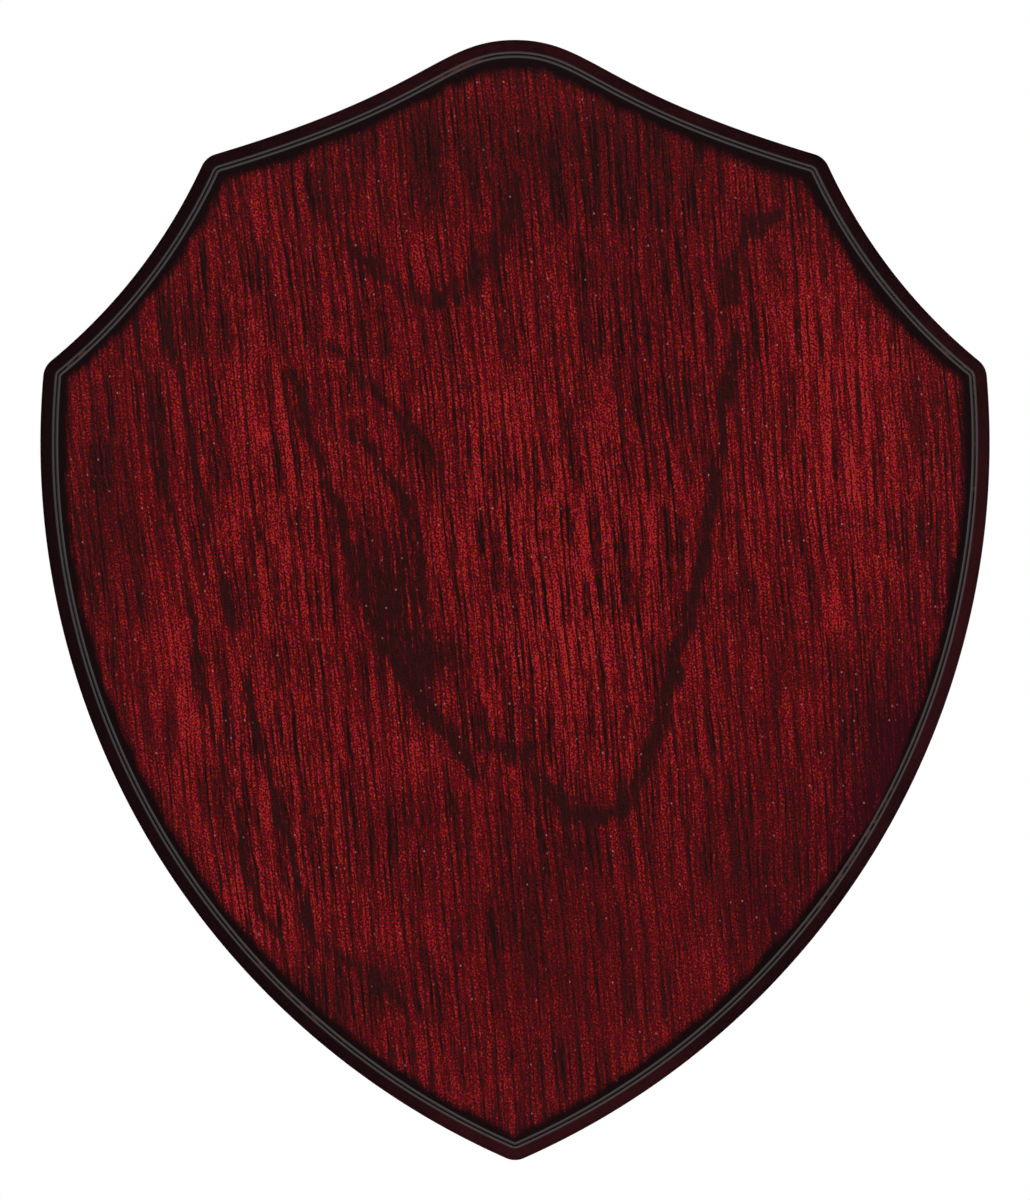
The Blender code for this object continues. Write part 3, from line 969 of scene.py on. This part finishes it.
def face_profile():
    """(offset, depth) pairs over the face's edge: a tight arris, then a slight roll of lacquer."""
    top = FACE_FRONT - LACQUER_ROLL * (1 - math.cos(LACQUER_TILT))
    inner = STEP_OFFSET - ARRIS_RADIUS
    centre = top - ARRIS_RADIUS * math.cos(LACQUER_TILT)
    roll_start = inner - (LACQUER_ROLL - ARRIS_RADIUS) * math.sin(LACQUER_TILT)
    profile = [(STEP_OFFSET, CORE_FRONT)]
    for tilt in np.linspace(math.pi / 2, LACQUER_TILT, ARRIS_POINTS):
        offset = inner + ARRIS_RADIUS * math.sin(tilt)
        profile.append((offset, centre + ARRIS_RADIUS * math.cos(tilt)))
    for tilt in np.linspace(LACQUER_TILT, 0, ROLL_POINTS)[1:]:
        offset = roll_start + LACQUER_ROLL * math.sin(tilt)
        profile.append((offset, FACE_FRONT - LACQUER_ROLL * (1 - math.cos(tilt))))
    return profile


def make_face():
    """The veneered face. A grid of corners over its flat part carries the figure of the wood."""
    profile = face_profile()
    shell = Shell()
    rear, front = shell.wall(*[shell.ring(shield_outline(o), depth) for o, depth in profile])
    shell.cap(rear)
    edge = np.repeat([offset / MM for offset, _ in profile], len(LINE))

    outline = shield_outline(profile[-1][0])
    low, high = outline.min(axis=0), outline.max(axis=0)
    spots = [np.arange(low[axis], high[axis], FACE_GRID) for axis in (0, 1)]
    grid = np.array(np.meshgrid(*spots)).reshape(2, -1).T
    grid = grid[inside(grid, LINE)]
    distance = edge_distance(grid)
    clear = distance > GRID_CLEARANCE - profile[-1][0]
    shell.cap(front, between=shell.ring(grid[clear], FACE_FRONT))
    edge = np.concatenate([edge, -distance[clear] / MM])

    piece = shell.piece("rosewood_panel", rosewood(), "face_veneer", "rosewood_face")
    set_attribute(piece, "edge", edge)
    flat = flat_millimetres(np.array(shell.corners))
    moved = swayed(flat)
    set_attribute(piece, "burn", BURN_REACH + at_places(flat, BURN_PLACES))
    set_attribute(piece, "rub", at_places(flat, RUB_PLACES))
    set_attribute(piece, "veil", at_places(flat, VEIL_PLACES))
    set_attribute(piece, "tone", TONE_CONTRAST * at_places(moved, TONE_PLACES))
    set_attribute(piece, "figure", figure_darkness(moved))
    set_attribute(piece, "vessels", VESSEL_CONTRAST + at_places(moved, VESSEL_PLACES))
    set_attribute(piece, "grain", grain_coordinates(flat))


def rear_edge(outer, rear, radius, front):
    """(offset, depth) pairs of a sheet's side, whose rear edge is rounded."""
    rounded = quarter_round(outer - radius, rear + radius, radius, -radius, REAR_EDGE_STEPS)
    return [*reversed(rounded), (outer, front)]


def make_back():
    shell = Shell()
    profile = rear_edge(OUTER_OFFSET, BACK_REAR, BACK_ARRIS, BACK_FRONT)
    rear, front = shell.wall(*[shell.ring(shield_outline(o), depth) for o, depth in profile])
    recess = plate_outline(RECESS_CLEARANCE)
    mouth, end = shell.wall(shell.ring(recess, BACK_REAR), shell.ring(recess, BACK_FRONT))
    shell.cap(rear, [mouth])
    shell.cap(front, [end])
    shell.piece("stained_back", stained_back(), "back_veneer", "back_stain")


# ---- Hanger and pads ----------------------------------------------------------------------------
def make_plate():
    shell = Shell()
    profile = rear_edge(0, BACK_REAR, PLATE_EDGE, PLATE_FRONT)
    rear, front = shell.wall(*[shell.ring(plate_outline(o), depth) for o, depth in profile])
    # The keyhole's rear edge is rounded the other way, by widening the hole.
    sides = rear_edge(0, BACK_REAR, KEYHOLE_EDGE, PLATE_FRONT)
    holes = [shell.wall(*[shell.ring(keyhole_outline(-o), depth) for o, depth in sides])]
    narrowing = PLATE_FRONT - BACK_REAR
    for place in screw_places().values():
        wide = circle_outline(place, COUNTERSINK_RADIUS)
        narrow = circle_outline(place, COUNTERSINK_RADIUS - narrowing)
        holes.append(shell.wall(shell.ring(wide, BACK_REAR), shell.ring(narrow, PLATE_FRONT)))
    shell.cap(rear, [mouth for mouth, _ in holes])
    shell.cap(front, [end for _, end in holes])
    shell.piece("hanger_plate", plated_steel(), "keyhole_plate", "plated_steel")


def thread_outline(place, depth, fade):
    """A slice across the thread, whose crest goes round once each pitch. fade is 0 to 1."""
    angles = np.arange(ROUND_SIDES) / ROUND_SIDES
    crest = 1 - np.abs(2 * ((depth / THREAD_PITCH - angles) % 1.0) - 1)
    radii = THREAD_CORE_RADIUS + (THREAD_CREST_RADIUS - THREAD_CORE_RADIUS) * crest * fade
    turned = 2 * math.pi * angles
    return np.array(place) + np.column_stack([np.cos(turned), np.sin(turned)]) * radii[:, None]


def screw_rings(shell, place):
    """The rings of a countersunk wood screw from its head to its point."""
    cone = HEAD_RADIUS - SHANK_RADIUS
    head = [
        (HEAD_RADIUS - HEAD_RIM_BEVEL, 0.0),
        (HEAD_RADIUS, HEAD_RIM_BEVEL),
        (HEAD_RADIUS, HEAD_RIM),
    ]
    shank = [(SHANK_RADIUS, HEAD_RIM + cone), (SHANK_RADIUS, THREAD_START - THREAD_PITCH / 2)]
    for radius, depth in head + shank:
        yield shell.ring(circle_outline(place, radius), BACK_REAR + depth)
    step = THREAD_PITCH / RINGS_PER_TURN
    depth = THREAD_START
    while depth < SCREW_LENGTH - step:
        runout = min(1.0, (depth - THREAD_START) / THREAD_PITCH)
        narrow = min(1.0, (SCREW_LENGTH - depth) / POINT_LENGTH)
        slice_points = thread_outline(place, depth, runout) - place
        yield shell.ring(place + slice_points * narrow, BACK_REAR + depth)
        depth += step
    yield shell.ring(circle_outline(place, POINT_RADIUS), BACK_REAR + SCREW_LENGTH)


def make_screws():
    material = screw_steel()
    for node, place in screw_places().items():
        shell = Shell()
        top, point = shell.wall(*screw_rings(shell, place))
        mouth, floor = shell.wall(
            shell.ring(cross_outline(place, *DRIVE_MOUTH), BACK_REAR),
            shell.ring(cross_outline(place, *DRIVE_FLOOR), BACK_REAR + DRIVE_DEPTH),
        )
        shell.cap(top, [mouth])
        shell.cap(floor)
        shell.cap(point)
        shell.piece(node.replace("hanger", "wood"), material, node, "screw_steel")


def make_pads():
    material = pad_rubber()
    for node in ("wall_pad_left", "wall_pad_right", "wall_pad_bottom"):
        low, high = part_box(node)
        place = ((low.x + high.x) / 2, (low.z + high.z) / 2)
        radius = (high.z - low.z) / 2
        shell = Shell()
        profile = rear_edge(radius, 0.0, PAD_EDGE, PAD_FRONT)
        rear, front = shell.wall(
            *[shell.ring(circle_outline(place, r), depth) for r, depth in profile]
        )
        shell.cap(rear)
        shell.cap(front)
        shell.piece(node.replace("wall", "rubber"), material, node, "pad_rubber")


# ---- Stage --------------------------------------------------------------------------------------
CAMERA_DISTANCE = 1.5
FRAME_HEIGHT = 0.27122
SENSOR_MILLIMETRES = 36.0
FLOOR_DROP = 0.20
FLOOR_RADIUS = 1.4
RING_DISTANCE = 1.5
RING_RADIUS = 0.80
RING_HOLE = 0.30
RING_EDGE = 0.345
RING_ENERGY = 11.0
# How bright the ring still is at its outer side.
RING_FADE = 0.12
# The place, width and energy of each light for the views from behind.
SOFTBOXES = {
    "back_middle": ((0.0, 2.0, 0.4), 3.0, 40.0),
    "back_left": ((2.0, 1.4, 0.9), 2.0, 30.0),
    "back_right": ((-1.9, 1.2, 0.0), 1.2, 8.0),
}


def make_camera():
    low, high = cad_box
    data = bpy.data.cameras.new("camera")
    data.sensor_width = SENSOR_MILLIMETRES
    data.lens = SENSOR_MILLIMETRES * CAMERA_DISTANCE / FRAME_HEIGHT
    camera = bpy.data.objects.new("camera", data)
    camera.location = (0.0, -FACE_FRONT - CAMERA_DISTANCE, (low.z + high.z) / 2)
    camera.rotation_euler = (math.radians(90), 0, 0)
    bpy.context.scene.collection.objects.link(camera)
    bpy.context.scene.camera = camera


def make_floor():
    bm = bmesh.new()
    bmesh.ops.create_circle(bm, cap_ends=True, radius=FLOOR_RADIUS, segments=96)
    mesh = bpy.data.meshes.new("floor")
    bm.to_mesh(mesh)
    bm.free()
    mesh.materials.append(plain_material("floor", (0.80, 0.79, 0.77), 0.9))
    floor = bpy.data.objects.new("floor", mesh)
    floor.location = (0.0, 0.0, cad_box[0].z - FLOOR_DROP)
    floor.visible_glossy = False
    bpy.context.scene.collection.objects.link(floor)


def make_world():
    world = bpy.data.worlds.new("white")
    bpy.context.scene.world = world
    world.use_nodes = True
    world.node_tree.nodes["Background"].inputs["Color"].default_value = (1, 1, 1, 1)
    world.node_tree.nodes["Background"].inputs["Strength"].default_value = 1.0
    world.cycles_visibility.glossy = False


def make_ring_light():
    """A round softbox about the camera's axis that fades outwards. Its dark middle keeps the flat
    face dark, so that only the rounded edges catch it."""
    data = bpy.data.lights.new("ring", "AREA")
    data.shape = "DISK"
    data.size = 2 * RING_RADIUS
    data.energy = RING_ENERGY
    data.use_nodes = True
    nodes, links = data.node_tree.nodes, data.node_tree.links
    geometry = nodes.new("ShaderNodeNewGeometry")
    # A light's own coordinates run from 0 to 1, so its middle is at a half.
    off_centre = nodes.new("ShaderNodeVectorMath")
    off_centre.operation = "DISTANCE"
    off_centre.inputs[1].default_value = (0.5, 0.5, 0.0)
    links.new(geometry.outputs["Parametric"], off_centre.inputs[0])
    radius = nodes.new("ShaderNodeMapRange")
    radius.inputs["From Max"].default_value = 0.5
    links.new(off_centre.outputs["Value"], radius.inputs["Value"])
    fade = nodes.new("ShaderNodeValToRGB")
    elements = fade.color_ramp.elements
    elements[0].position = RING_HOLE / RING_RADIUS
    elements[0].color = (0, 0, 0, 1)
    elements[1].position = RING_EDGE / RING_RADIUS
    elements[1].color = (1, 1, 1, 1)
    elements.new(1.0).color = (RING_FADE, RING_FADE, RING_FADE, 1)
    links.new(radius.outputs["Result"], fade.inputs["Fac"])
    links.new(fade.outputs["Color"], nodes["Emission"].inputs["Strength"])
    light = bpy.data.objects.new("ring", data)
    light.location = (0.0, -RING_DISTANCE, (cad_box[0].z + cad_box[1].z) / 2)
    light.rotation_euler = (math.radians(90), 0, 0)
    light.visible_camera = False
    bpy.context.scene.collection.objects.link(light)


def make_softboxes():
    """Light for the views from behind. It leaves out the painted edge, on whose rim it would draw
    a pale line in the view from the front."""
    lit = bpy.data.collections.new("lit_from_behind")
    for piece in bpy.context.scene.collection.objects:
        if piece.type == "MESH" and not piece.name.startswith("painted"):
            lit.objects.link(piece)
    for name, (place, width, energy) in SOFTBOXES.items():
        data = bpy.data.lights.new(name, "AREA")
        data.size = width
        data.energy = energy
        light = bpy.data.objects.new(name, data)
        light.location = place
        light.rotation_euler = (-Vector(place)).to_track_quat("-Z", "Y").to_euler()
        light.visible_camera = False
        light.light_linking.receiver_collection = lit
        bpy.context.scene.collection.objects.link(light)


def main():
    scene = bpy.context.scene
    scene.view_settings.view_transform = "Standard"
    make_core()
    make_face()
    make_back()
    make_plate()
    make_screws()
    make_pads()
    make_camera()
    make_floor()
    make_world()
    make_ring_light()
    make_softboxes()


main()
